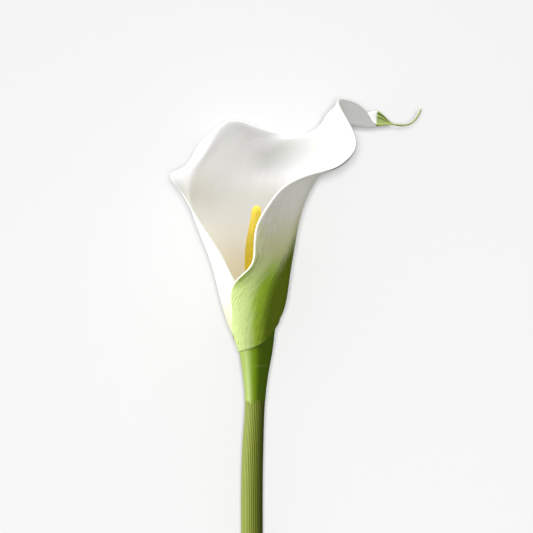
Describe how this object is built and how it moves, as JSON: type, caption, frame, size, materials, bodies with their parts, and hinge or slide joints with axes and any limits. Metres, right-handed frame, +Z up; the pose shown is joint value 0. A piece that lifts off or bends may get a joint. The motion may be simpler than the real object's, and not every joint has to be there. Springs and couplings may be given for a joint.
{
  "type": "calla lily flower",
  "caption": "Cut calla lily flower: a long green stem, a rolled white spathe with a flared lip and drawn-out green tip, and a yellow spadix.",
  "frame": {"origin": "centre of the bounding box's bottom face, on the surface that the flower lies on", "axes": "+Z up, +Y along the stem towards the bloom, +X towards the drawn-out tip"},
  "size_m": [0.1402, 0.3152, 0.0717],
  "materials": {
    "stem": "fresh green stem, silky, finely ribbed below a smooth neck",
    "spadix": "matte yellow, set with tiny florets, deeper orange towards the foot",
    "spathe": "soft creamy white petal with faint veins, olive green at the foot of the wrap and at the tip"
  },
  "bodies": {
    "root": {"stem": "stem", "spadix": "spadix", "spathe": "spathe"}
  },
  "joints": []
}
